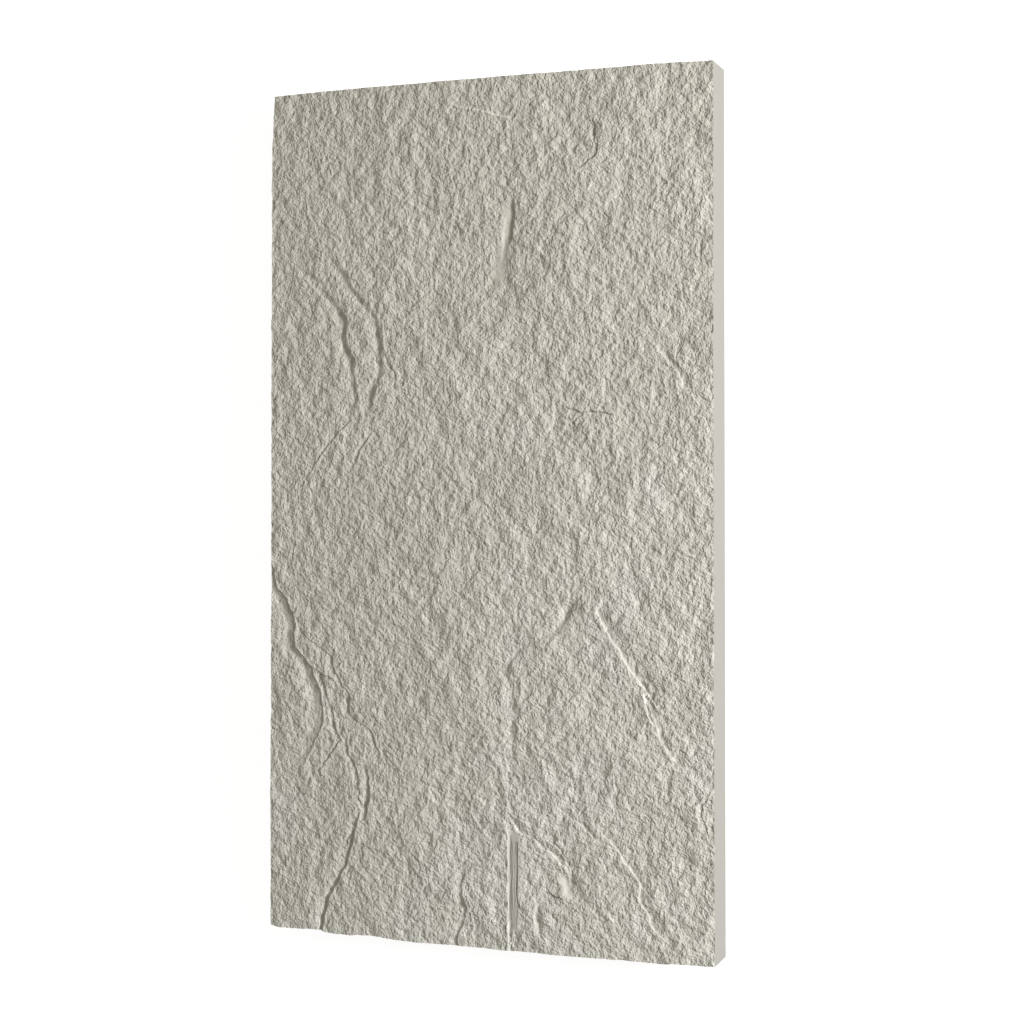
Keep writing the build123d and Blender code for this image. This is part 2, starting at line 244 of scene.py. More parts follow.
# Layers split off the face, with painted shade and highlights along some of their edges
splits = {
    "upper_outer": Split([
        (-0.2106, 0.334, 0.0), (-0.2034, 0.326, 0.0013), (-0.1915, 0.313, 0.0022),
        (-0.1823, 0.295, 0.0025), (-0.1671, 0.277, 0.0024), (-0.1496, 0.258, 0.0021),
        (-0.1409, 0.240, 0.0024), (-0.1379, 0.223, 0.0024), (-0.1362, 0.205, 0.0026),
        (-0.1356, 0.188, 0.0026), (-0.1366, 0.177, 0.0024), (-0.1432, 0.165, 0.0024),
        (-0.1475, 0.153, 0.0023), (-0.1510, 0.135, 0.0020), (-0.1535, 0.125, 0.0),
    ], side=-1, wall=0.0100, reach=0.013, lip=0.0003, soft=True, smoothness=0.4),
    "upper_inner": Split([
        (-0.2312, 0.305, 0.0), (-0.2212, 0.295, 0.0015), (-0.2159, 0.284, 0.0018),
        (-0.2049, 0.273, 0.0023), (-0.1956, 0.260, 0.0026), (-0.1891, 0.249, 0.0027),
        (-0.1877, 0.238, 0.0024), (-0.1896, 0.226, 0.0024), (-0.1870, 0.215, 0.0026),
        (-0.1824, 0.205, 0.0026), (-0.1765, 0.190, 0.0024), (-0.1769, 0.178, 0.0023),
        (-0.1746, 0.166, 0.0022), (-0.1714, 0.153, 0.0022), (-0.1724, 0.143, 0.0021),
        (-0.1773, 0.130, 0.0017), (-0.1795, 0.117, 0.0),
    ], side=-1, wall=0.0095, reach=0.014, lip=0.0003, soft=True, smoothness=0.4),
    "upper_split": Split([
        (-0.137, 0.206, 0.0), (-0.134, 0.202, 0.0008), (-0.126, 0.187, 0.0013),
        (-0.120, 0.177, 0.0012), (-0.119, 0.163, 0.0007), (-0.120, 0.149, 0.0),
    ], side=-1, wall=0.0025, reach=0.006, lip=0.0004, edge=0.0008, painted_light=0.10),
    "middle_crack": Split([
        (-0.154, 0.102, 0.0), (-0.156, 0.097, 0.0012), (-0.163, 0.088, 0.0013),
        (-0.170, 0.078, 0.0013), (-0.178, 0.061, 0.0008), (-0.183, 0.050, 0.0),
    ], side=-1, wall=0.0025, reach=0.006, lip=0.0004, edge=0.0010, painted_light=0.20),
    "lower_outer": Split([
        (-0.302, -0.066, 0.0015), (-0.297, -0.075, 0.0019), (-0.294, -0.091, 0.0025),
        (-0.288, -0.104, 0.0028), (-0.278, -0.114, 0.0029), (-0.272, -0.127, 0.0030),
        (-0.266, -0.141, 0.0030), (-0.264, -0.153, 0.0030), (-0.266, -0.166, 0.0029),
        (-0.260, -0.182, 0.0028), (-0.251, -0.191, 0.0028), (-0.241, -0.203, 0.0028),
        (-0.236, -0.214, 0.0028), (-0.231, -0.226, 0.0028), (-0.226, -0.237, 0.0028),
        (-0.225, -0.250, 0.0026), (-0.222, -0.266, 0.0024), (-0.226, -0.282, 0.0022),
        (-0.233, -0.298, 0.0019), (-0.243, -0.318, 0.0015), (-0.262, -0.348, 0.0),
    ], side=-1, wall=0.0135, reach=0.014, lip=0.0006, edge=0.0008, painted_light=0.12),
    "lower_inner": Split([
        (-0.2408, -0.200, 0.0), (-0.2381, -0.202, 0.0007), (-0.2284, -0.210, 0.0012),
        (-0.2232, -0.222, 0.0014), (-0.2178, -0.239, 0.0014), (-0.2131, -0.249, 0.0010),
        (-0.2088, -0.256, 0.0013), (-0.2079, -0.265, 0.0016), (-0.2070, -0.275, 0.0016),
        (-0.2027, -0.286, 0.0014), (-0.1974, -0.295, 0.0),
    ], side=-1, wall=0.0030, reach=0.006, lip=0.0005, edge=0.0009, painted_light=0.16),
    "lower_branch": Split([
        (-0.257, -0.154, 0.0), (-0.254, -0.158, 0.0008), (-0.244, -0.166, 0.0011),
        (-0.231, -0.176, 0.0012), (-0.219, -0.183, 0.0013), (-0.210, -0.190, 0.0014),
        (-0.209, -0.202, 0.0015), (-0.203, -0.212, 0.0016), (-0.195, -0.225, 0.0016),
        (-0.1854, -0.236, 0.0013), (-0.1848, -0.245, 0.0014), (-0.1856, -0.259, 0.0014),
        (-0.1804, -0.266, 0.0014), (-0.1717, -0.272, 0.0013), (-0.1632, -0.277, 0.0013),
        (-0.1547, -0.283, 0.0013), (-0.1511, -0.289, 0.0013), (-0.1477, -0.301, 0.0012),
        (-0.1426, -0.310, 0.0009), (-0.1375, -0.319, 0.0),
    ], side=-1, wall=0.0026, reach=0.009, lip=0.0006, edge=0.0009, painted_light=0.14),
    "lower_link": Split([
        (-0.1881, -0.291, 0.0), (-0.1881, -0.299, 0.0013), (-0.1881, -0.310, 0.0015),
        (-0.1803, -0.321, 0.0014), (-0.1750, -0.332, 0.0013), (-0.1725, -0.341, 0.0009),
        (-0.1709, -0.351, 0.0),
    ], side=-1, wall=0.0030, reach=0.007, lip=0.0004, edge=0.0009, painted_light=0.14),
    "left_foot_upper": Split([
        (-0.162, -0.324, 0.0), (-0.159, -0.332, 0.0010), (-0.157, -0.348, 0.0018),
        (-0.156, -0.363, 0.0021), (-0.158, -0.377, 0.0022), (-0.161, -0.390, 0.0020),
        (-0.163, -0.402, 0.0),
    ], side=-1, wall=0.0045, reach=0.010, lip=0.0005, edge=0.0010, painted_light=0.25),
    "left_foot": Split([
        (-0.168, -0.384, 0.0), (-0.170, -0.394, 0.0016), (-0.174, -0.404, 0.0020),
        (-0.178, -0.417, 0.0020), (-0.181, -0.430, 0.0020), (-0.185, -0.441, 0.0020),
        (-0.187, -0.452, 0.0020), (-0.193, -0.465, 0.0021), (-0.203, -0.483, 0.0023),
        (-0.212, -0.498, 0.0024), (-0.219, -0.520, 0.0026), (-0.224, -0.544, 0.0029),
        (-0.226, -0.562, 0.0030),
    ], side=-1, wall=0.0036, reach=0.012, lip=0.0006, edge=0.0012, painted_light=0.30),
    "middle_foot": Split([
        (-0.022, -0.448, 0.0), (-0.024, -0.460, 0.0011), (-0.027, -0.479, 0.0015),
        (-0.025, -0.492, 0.0016), (-0.021, -0.502, 0.0017), (-0.023, -0.514, 0.0017),
        (-0.028, -0.524, 0.0016), (-0.032, -0.536, 0.0016), (-0.036, -0.562, 0.0018),
    ], side=-1, wall=0.0045, reach=0.011, lip=0.0005, edge=0.0006, painted_light=0.08),
    "centre_step": Split([
        (0.126, -0.110, 0.0), (0.122, -0.119, 0.0018), (0.115, -0.130, 0.0024),
        (0.107, -0.144, 0.0021), (0.095, -0.154, 0.0018), (0.078, -0.160, 0.0016),
        (0.060, -0.170, 0.0016), (0.045, -0.184, 0.0015), (0.037, -0.202, 0.0014),
        (0.044, -0.228, 0.0014), (0.046, -0.264, 0.0013), (0.044, -0.302, 0.0009),
        (0.040, -0.332, 0.0),
    ], side=-1, wall=0.0060, reach=0.016),
    "right_crease": Split([
        (0.160, -0.100, 0.0), (0.156, -0.113, 0.0009), (0.151, -0.122, 0.0012),
        (0.156, -0.135, 0.0013), (0.164, -0.149, 0.0014), (0.171, -0.159, 0.0015),
        (0.182, -0.174, 0.0015), (0.188, -0.186, 0.0015), (0.197, -0.198, 0.0015),
        (0.205, -0.209, 0.0014), (0.212, -0.227, 0.0013), (0.220, -0.241, 0.0013),
        (0.222, -0.248, 0.0013), (0.226, -0.259, 0.0013), (0.230, -0.273, 0.0013),
        (0.236, -0.285, 0.0013), (0.246, -0.298, 0.0012), (0.256, -0.308, 0.0008),
        (0.262, -0.314, 0.0),
    ], side=1, wall=0.0018, reach=0.020, edge=0.0005, edge_width=0.0018, painted_light=-0.06),
    "right_foot": Split([
        (0.150, -0.388, 0.0), (0.160, -0.399, 0.0008), (0.175, -0.413, 0.0011),
        (0.186, -0.429, 0.0013), (0.199, -0.446, 0.0014), (0.206, -0.458, 0.0013),
        (0.205, -0.472, 0.0012), (0.211, -0.483, 0.0011), (0.217, -0.495, 0.0011),
        (0.220, -0.505, 0.0010), (0.233, -0.517, 0.0007), (0.246, -0.528, 0.0),
    ], side=1, wall=0.0020, reach=0.014, edge=0.0007, edge_width=0.0020, painted_light=-0.08),
    "inner_foot": Split([
        (0.0358, -0.380, 0.0), (0.0391, -0.389, 0.0014), (0.0445, -0.396, 0.0017),
        (0.0498, -0.402, 0.0017), (0.0551, -0.404, 0.0011), (0.0671, -0.408, 0.0012),
        (0.0737, -0.415, 0.0017), (0.0790, -0.420, 0.0018), (0.0895, -0.423, 0.0018),
        (0.0961, -0.430, 0.0018), (0.1027, -0.437, 0.0018), (0.1092, -0.441, 0.0017),
        (0.1131, -0.451, 0.0013), (0.1151, -0.460, 0.0009), (0.1157, -0.471, 0.0),
    ], side=1, wall=0.0026, reach=0.012, edge=0.0011, edge_width=0.0024, painted_light=-0.14),
    "foot_patch": Split([
        (0.1019, -0.449, 0.0), (0.1032, -0.455, 0.0032), (0.1045, -0.462, 0.0038),
        (0.1071, -0.470, 0.0038), (0.1111, -0.476, 0.0030), (0.1130, -0.480, 0.0),
    ], side=1, wall=0.0100, reach=0.016),
    "short_foot": Split([
        (0.098, -0.366, 0.0), (0.105, -0.372, 0.0005), (0.116, -0.379, 0.0008),
        (0.127, -0.385, 0.0009), (0.137, -0.394, 0.0009), (0.146, -0.402, 0.0008),
        (0.154, -0.412, 0.0),
    ], side=1, wall=0.0020, reach=0.009, edge=0.0006, edge_width=0.0020, painted_light=-0.06),
    "small_foot": Split([
        (0.0677, -0.477, 0.0), (0.0684, -0.482, 0.0011), (0.0711, -0.490, 0.0014),
        (0.0684, -0.503, 0.0014), (0.0697, -0.513, 0.0013), (0.0737, -0.523, 0.0008),
        (0.0763, -0.530, 0.0),
    ], side=1, wall=0.0028, reach=0.007, edge=0.0005, edge_width=0.0024, painted_light=-0.05),
    "upper_right": Split([
        (0.222, 0.210, 0.0), (0.228, 0.202, 0.0009), (0.240, 0.187, 0.0011), (0.253, 0.172, 0.0011),
        (0.261, 0.157, 0.0008), (0.266, 0.145, 0.0),
    ], side=1, wall=0.0015, reach=0.009, edge=0.0008),
    "furrow_break": Split([
        (0.0421, 0.392, 0.0), (0.0440, 0.387, 0.0017), (0.0446, 0.377, 0.0020),
        (0.0429, 0.359, 0.0020), (0.0400, 0.345, 0.0018), (0.0373, 0.337, 0.0010),
        (0.0349, 0.327, 0.0),
    ], side=-1, wall=0.0066, reach=0.013, soft=True, smoothness=0.4),
    "tool_mark": Split([
        (0.0344, -0.399, 0.0), (0.0344, -0.410, 0.0011), (0.0344, -0.518, 0.0011),
        (0.0344, -0.530, 0.0), (0.0344, -0.562, 0.0),
    ], side=1, wall=0.0018, reach=0.0125, edge=0.0004, edge_width=0.0018, straight=True, smoothness=1.0),
}

# Furrow gouged down the upper middle of the face, and its half width
furrow_line = [(0.0349, 0.391, 0.0), (0.0349, 0.380, 0.0005), (0.0329, 0.357, 0.0007),
               (0.0281, 0.329, 0.0009), (0.0227, 0.302, 0.0008), (0.0146, 0.272, 0.0)]
furrow_half_width = 0.0080

# Fine cracks and creases: painted shade along the dark ones, painted highlights along the pale ones
fine_cracks = {
    "right_crease_fork": Crack([
        (0.2048, -0.208, 0.0), (0.2080, -0.212, 0.0016), (0.2130, -0.218, 0.0020),
        (0.2204, -0.228, 0.0020), (0.2297, -0.239, 0.0016), (0.2314, -0.241, 0.0),
    ], width=0.0018, painted_light=-0.20),
    "right_crease_tail": Crack([
        (0.2122, -0.222, 0.0), (0.2129, -0.230, 0.0018), (0.2148, -0.241, 0.0018),
        (0.2204, -0.255, 0.0018), (0.2260, -0.262, 0.0),
    ], width=0.0018, painted_light=-0.18),
    "right_foot_fork": Crack([
        (0.207, -0.455, 0.0), (0.210, -0.459, 0.0010), (0.219, -0.468, 0.0011),
        (0.225, -0.477, 0.0008), (0.228, -0.482, 0.0),
    ], width=0.0014),
    "inner_foot_double": Crack([
        (0.076, -0.405, 0.0), (0.080, -0.407, 0.0010), (0.090, -0.411, 0.0012),
        (0.101, -0.419, 0.0012), (0.106, -0.426, 0.0013), (0.112, -0.434, 0.0013),
        (0.116, -0.444, 0.0012), (0.118, -0.455, 0.0011), (0.119, -0.466, 0.0),
    ], width=0.0014),
    "inner_foot_undercut": Crack([
        (0.087, -0.471, 0.0), (0.092, -0.475, -0.0009), (0.102, -0.479, -0.0009),
        (0.110, -0.481, 0.0),
    ], width=0.0020, painted_light=0.45, across=True),
    "above_tool_mark": Crack([
        (0.033, -0.312, 0.0), (0.034, -0.342, 0.0007), (0.035, -0.374, 0.0009),
        (0.035, -0.400, 0.0),
    ], width=0.0020),
    "tool_mark_side": Crack([
        (0.0472, -0.412, 0.0), (0.0472, -0.421, -0.0010), (0.0472, -0.483, -0.0010),
        (0.0493, -0.491, -0.0007), (0.0510, -0.498, 0.0),
    ], width=0.0013, painted_light=0.30, straight=True),
    "tool_mark_foot": Crack([
        (0.0352, -0.512, 0.0), (0.0352, -0.522, 0.0014), (0.0358, -0.540, 0.0017),
        (0.0366, -0.562, 0.0017),
    ], width=0.0022, painted_light=-0.12, straight=True),
    "tool_mark_inner": Crack([
        (0.0382, -0.404, 0.0), (0.0382, -0.412, -0.0003), (0.0382, -0.505, -0.0003),
        (0.0394, -0.524, 0.0),
    ], width=0.0018, painted_light=0.35, straight=True),
    "tool_mark_curl": Crack([
        (0.0383, -0.538, 0.0), (0.0403, -0.541, 0.0014), (0.0444, -0.545, 0.0018),
        (0.0510, -0.548, 0.0),
    ], width=0.0022, painted_light=-0.10),
    "left_of_tool_mark": Crack([
        (-0.016, -0.374, 0.0), (-0.010, -0.388, 0.0010), (-0.003, -0.398, 0.0010),
        (0.006, -0.410, 0.0),
    ], width=0.0020),
    "furrow_side": Crack([
        (0.0419, 0.391, 0.0), (0.0427, 0.384, -0.0005), (0.0419, 0.367, -0.0006),
        (0.0389, 0.348, -0.0005), (0.0368, 0.338, 0.0),
    ], width=0.0026, painted_light=0.12),
    "furrow_lip": Crack([
        (0.0302, 0.372, 0.0), (0.0297, 0.365, 0.0004), (0.0271, 0.345, 0.0006),
        (0.0260, 0.327, 0.0005), (0.0254, 0.314, 0.0),
    ], width=0.0026, painted_light=-0.05),
    "head_dark": Crack([
        (0.147, 0.491, 0.0), (0.148, 0.484, -0.0010), (0.149, 0.462, -0.0010),
        (0.153, 0.449, -0.0013), (0.144, 0.438, -0.0013), (0.131, 0.427, 0.0),
    ], width=0.0022, painted_light=0.30),
    "head_light": Crack([
        (-0.0305, 0.515, 0.0), (-0.0168, 0.512, 0.0006), (0.0027, 0.507, 0.0008),
        (0.0240, 0.500, 0.0008), (0.0415, 0.496, 0.0006), (0.0470, 0.494, 0.0),
    ], width=0.0018, painted_light=-0.32, across=True, straight=True),
    "centre_dark": Crack([
        (0.1107, 0.130, 0.0), (0.1159, 0.128, -0.0008), (0.1247, 0.126, -0.0010),
        (0.1342, 0.123, -0.0010), (0.1421, 0.124, -0.0007), (0.1563, 0.123, -0.0010),
        (0.1671, 0.121, -0.0009), (0.1764, 0.118, 0.0),
    ], width=0.0018, painted_light=0.38, across=True, straight=True),
    "centre_dark_curl": Crack([
        (0.1342, 0.120, 0.0), (0.1290, 0.117, -0.0006), (0.1238, 0.113, -0.0008),
        (0.1219, 0.109, -0.0008), (0.1238, 0.106, -0.0007), (0.1283, 0.101, 0.0),
    ], width=0.0016, painted_light=0.35, straight=True),
    "middle_dark": Crack([
        (-0.038, -0.022, 0.0), (-0.032, -0.023, -0.0005), (-0.018, -0.026, -0.0006),
        (-0.004, -0.031, -0.0006), (0.006, -0.036, 0.0),
    ], width=0.0022, painted_light=0.17, across=True),
    "lower_thin": Crack([
        (-0.244, -0.201, 0.0), (-0.240, -0.204, -0.0008), (-0.229, -0.211, -0.0010),
        (-0.216, -0.215, -0.0008), (-0.208, -0.218, 0.0),
    ], width=0.0014, painted_light=0.45, across=True),
    "left_thin": Crack([
        (-0.184, 0.118, 0.0), (-0.189, 0.113, -0.0007), (-0.205, 0.098, -0.0009),
        (-0.227, 0.072, -0.0010), (-0.245, 0.046, -0.0007), (-0.254, 0.032, 0.0),
    ], width=0.0014, painted_light=0.25),
    "left_slash": Crack([
        (-0.1966, -0.295, 0.0), (-0.1987, -0.298, -0.0011), (-0.2052, -0.308, -0.0014),
        (-0.2121, -0.316, -0.0012), (-0.2160, -0.321, 0.0),
    ], width=0.0018, painted_light=0.3),
    "left_slash_low": Crack([
        (-0.2167, -0.320, 0.0), (-0.2188, -0.324, -0.0009), (-0.2243, -0.333, -0.0011),
        (-0.2312, -0.341, 0.0),
    ], width=0.0016, painted_light=0.2),
    "right_edge": Crack([
        (0.294, -0.342, 0.0), (0.288, -0.352, -0.0007), (0.284, -0.361, -0.0008),
        (0.286, -0.371, -0.0008), (0.291, -0.385, -0.0006), (0.294, -0.393, 0.0),
    ], width=0.0013, painted_light=0.35),
    "left_foot_double": Crack([
        (-0.1765, -0.332, 0.0), (-0.1731, -0.341, -0.0006), (-0.1708, -0.359, -0.0009),
        (-0.1703, -0.373, -0.0009), (-0.1672, -0.381, 0.0),
    ], width=0.0014, painted_light=0.35),
    "left_foot_flake": Crack([
        (-0.180, -0.412, 0.0), (-0.184, -0.421, -0.0011), (-0.190, -0.432, -0.0010),
        (-0.192, -0.439, 0.0),
    ], width=0.0016, painted_light=0.40),
}


def feed(tree, socket, value):
    """Link an output into a socket, or set the socket's own value."""
    if isinstance(value, bpy.types.NodeSocket):
        tree.links.new(value, socket)
    else:
        socket.default_value = value


def node(tree, kind, inputs=(), **settings):
    """New node with its settings made, and then its inputs fed by their name or number."""
    made = tree.nodes.new(kind)
    for name, setting in settings.items():
        setattr(made, name, setting)
    for name, value in dict(inputs).items():
        feed(tree, made.inputs[name], value)
    return made


def new_group(name, kind, inputs, outputs):
    """New node group with named sockets of given kinds; returns it and what its inputs give."""
    tree = bpy.data.node_groups.new(name, kind)
    for direction, sockets in (("INPUT", inputs), ("OUTPUT", outputs)):
        for socket, socket_kind in sockets.items():
            tree.interface.new_socket(socket, in_out=direction,
                                      socket_type="NodeSocket" + socket_kind)
    return tree, tree.nodes.new("NodeGroupInput").outputs


def maths(tree, operation, *values):
    """One Math node; returns its result."""
    return node(tree, "ShaderNodeMath", enumerate(values), operation=operation).outputs[0]


def add(tree, first, *others):
    """Sum of several values."""
    for other in others:
        first = maths(tree, "ADD", first, other)
    return first


def multiply(tree, first, *others):
    """Product of several values."""
    for other in others:
        first = maths(tree, "MULTIPLY", first, other)
    return first


def subtract(tree, first, second):
    """First value less the second."""
    return maths(tree, "SUBTRACT", first, second)


def blended(tree, first, second, share):
    """First value, or the second where the share is 1."""
    return add(tree, first, multiply(tree, subtract(tree, second, first), share))


def hump(tree, *offsets):
    """1 where all the offsets are nought, and less and less away from there."""
    squares = [multiply(tree, offset, offset) for offset in offsets]
    return maths(tree, "EXPONENT", multiply(tree, add(tree, *squares), -1.0))


def remap(tree, value, low, high, new_low=0.0, new_high=1.0, smooth=False):
    """Value between low and high, spread over a new range and kept inside it."""
    ends = {"From Min": low, "From Max": high, "To Min": new_low, "To Max": new_high}
    return node(tree, "ShaderNodeMapRange", {"Value": value, **ends},
                interpolation_type="SMOOTHSTEP" if smooth else "LINEAR").outputs["Result"]


def parts_of(tree, vector):
    """X, Y and Z of a vector."""
    return node(tree, "ShaderNodeSeparateXYZ", {0: vector}).outputs


def vector_of(tree, x, y, z):
    """Vector of three values."""
    return node(tree, "ShaderNodeCombineXYZ", {0: x, 1: y, 2: z}).outputs[0]


def scaled(tree, vector, factor):
    """Vector or colour times a factor."""
    return node(tree, "ShaderNodeVectorMath", {0: vector, "Scale": factor},
                operation="SCALE").outputs[0]


def noise(tree, x, y, z, size, detail=0.0, roughness=0.5, fineness=2.0):
    """Noise about nought, from about -0.45 to 0.45, with patches of the given size.

    Each layer of detail has patches smaller by the fineness.
    """
    made = node(tree, "ShaderNodeTexNoise", {
        "Vector": vector_of(tree, x, y, z), "Scale": maths(tree, "DIVIDE", 1.0, size),
        "Detail": detail, "Roughness": roughness, "Lacunarity": fineness,
    })
    return subtract(tree, made.outputs["Fac"], 0.5)


def curve_of(tree, share, points):
    """Value that follows points of share and value, the share running from 0 to 1."""
    values = [value for _, value in points]
    low, high = min(values), max(values)
    if math.isclose(low, high, abs_tol=1e-9):
        return low
    curve = tree.nodes.new("ShaderNodeFloatCurve")
    mapping = curve.mapping.curves[0]
    spots = [(spot, (value - low) / (high - low)) for spot, value in points]
    mapping.points[0].location = spots[0]
    mapping.points[1].location = spots[-1]
    for spot in spots[1:-1]:
        mapping.points.new(*spot)
    for point in mapping.points:
        point.handle_type = "AUTO_CLAMPED"
    curve.mapping.update()
    tree.links.new(share, curve.inputs["Value"])
    return remap(tree, curve.outputs["Value"], 0.0, 1.0, low, high)


def follow(tree, along, line, across=False):
    """Where a line of points lies beside a place along it, and its depth there.

    A line runs down the face, and gives x at a y; or it runs across, and gives y at an x.
    """
    spots = [(x, y, depth) if across else (y, x, depth) for x, y, depth in line]
    first, last = spots[0][0], spots[-1][0]
    share = remap(tree, along, first, last)
    places = [((spot - first) / (last - first), beside) for spot, beside, _ in spots]
    depths = [((spot - first) / (last - first), depth) for spot, _, depth in spots]
    return curve_of(tree, share, places), curve_of(tree, share, depths)


def offset_from(tree, places, mark):
    """How far a point lies beside a mark's line, to its right or above it, and the depth there."""
    x, y, drift_x, drift_y = places
    along, beside, drift = (x, y, drift_y) if mark.across else (y, x, drift_x)
    place, depth = follow(tree, along, mark.line, mark.across)
    if not mark.straight:
        beside = add(tree, beside, drift)
    return subtract(tree, beside, place), depth


def deepest(line):
    """Greatest depth of a line of points."""
    return max(depth for _, _, depth in line)


def nearest_line(tree, lines):
    """Offset from the nearest of several lines, counted in its widths, its step and its painted light.

    Each line is an offset in metres, a step, a width and a painted light, dark above nought, pale below.
    """
    # Painted light of the nearest line: painted shade above nought, painted highlight below
    best_near, best_offset, best_step, best_painted_light = 1.0, 1.0, 0.0, 0.0
    for away, step, width, painted_light in lines:
        near = maths(tree, "ABSOLUTE", away)
        present = maths(tree, "GREATER_THAN", maths(tree, "ABSOLUTE", step), least_step)
        closer = multiply(tree, maths(tree, "LESS_THAN", near, best_near), present)
        best_near = blended(tree, best_near, near, closer)
        best_offset = blended(tree, best_offset, multiply(tree, away, 1 / width), closer)
        best_step = blended(tree, best_step, step, closer)
        best_painted_light = blended(tree, best_painted_light, painted_light, closer)
    fade = remap(tree, best_near, line_full_reach, line_reach, 1.0, 0.0, smooth=True)
    return best_offset, multiply(tree, best_step, fade), multiply(tree, best_painted_light, fade)


def break_lines(tree, breaks):
    """Crisp steps within the walls of the splits, and the thin lips that stand beside them."""
    edges, lips = [], []
    for name, (away, depth) in breaks.items():
        split = splits[name]
        share = maths(tree, "DIVIDE", depth, deepest(split.line))
        if split.edge:
            in_wall = split.side * min(split.wall / 2, edge_into_wall)
            step = multiply(tree, share, split.side * split.edge)
            # Painted light along the edge, as deep as the split here: painted shade above nought,
            # highlight below
            painted_light = multiply(tree, share, split.painted_light)
            edges.append((subtract(tree, away, in_wall), step, split.edge_width / 2, painted_light))
        if split.lip:
            step = multiply(tree, share, split.lip)
            lips.append((subtract(tree, away, lip_distance), step, lip_width / 2, 0.0))
    return edges, lips


def crack_lines(tree, places):
    """The fine cracks and creases, ready for nearest_line."""
    lines = []
    for crack in fine_cracks.values():
        away, step = offset_from(tree, places, crack)
        # Each crack brings the painted light along it: painted shade above nought, painted highlight
        # below
        lines.append((away, step, crack.width / 2, crack.painted_light))
    return lines


def snap_to_breaks(tree, x, breaks, step):
    """Sideways move that puts the nearest point of a row on a break, and the next at its foot."""
    move = 0.0
    half_step = multiply(tree, step, 0.5)
    side_gap = subtract(tree, half_width, multiply(tree, step, snap_clear_steps))
    clear_of_sides = maths(tree, "LESS_THAN", maths(tree, "ABSOLUTE", x), side_gap)
    for name, (to_right, depth) in breaks.items():
        split = splits[name]
        away = multiply(tree, to_right, float(split.side))
        on_line = maths(tree, "COMPARE", away, 0.0, half_step)
        wanted = multiply(tree, on_line, away, -1.0)
        if split.wall < panel_width / face_columns:
            at_foot = maths(tree, "COMPARE", away, step, half_step)
            to_foot = subtract(tree, split.wall, away)
            wanted = add(tree, wanted, multiply(tree, at_foot, to_foot))
        active = maths(tree, "GREATER_THAN", depth, snap_least_depth)
        still_free = maths(tree, "COMPARE", move, 0.0, least_move)
        wanted = multiply(tree, wanted, active, still_free, clear_of_sides, float(split.side))
        move = add(tree, move, wanted)
    return move


def split_cut(tree, to_right, depth, split):
    """Depth that one split takes off the face, and how much of its smooth floor is here."""
    away = multiply(tree, to_right, float(split.side))
    foot = split.wall
    short_of_foot = remap(tree, away, 0.0, foot, 1.0, 0.0)
    fall = subtract(tree, 1.0, maths(tree, "POWER", short_of_foot, 2.0))
    if split.soft:
        fall = remap(tree, away, 0.0, foot, smooth=True)
    climb = remap(tree, away, foot, foot + split.reach, 1.0, 0.0)
    if split.side < 0:
        climb = multiply(tree, climb, climb)
    floor = remap(tree, away, floor_in_wall * foot, foot + floor_in_reach * split.reach,
                  1.0, 0.0, smooth=True)
    if split.straight:
        floor = remap(tree, away, foot + split.reach, foot + flat_floor_end * split.reach, 1.0, 0.0)
    past_line = maths(tree, "GREATER_THAN", away, -floor_before_line)
    depth_share = maths(tree, "DIVIDE", depth, deepest(split.line))
    share = multiply(tree, depth_share, split.smoothness)
    return multiply(tree, fall, climb, depth), multiply(tree, floor, past_line, share)


def outline(tree, x, y):
    """How far the foot rises and the head drops at x, and how far the left side leans in at y."""
    share = remap(tree, x, -half_width, half_width)
    foot = curve_of(tree, share, [((spot + 1) / 2, rise) for spot, rise in foot_rise])
    head_turn = head_straight_share * half_width
    left_drop = remap(tree, x, -head_turn, -half_width, 0.0, head_left_drop)
    right_drop = remap(tree, x, head_turn, half_width, 0.0, head_right_drop)
    lean = remap(tree, y, half_length - head_lean_length, half_length, 0.0, head_lean)
    return foot, add(tree, left_drop, right_drop), lean


def moved(tree, geometry, x=0.0, y=0.0, z=0.0):
    """Geometry with its points moved by the given distances."""
    return node(tree, "GeometryNodeSetPosition", {
        "Geometry": geometry, "Offset": vector_of(tree, x, y, z),
    }).outputs["Geometry"]


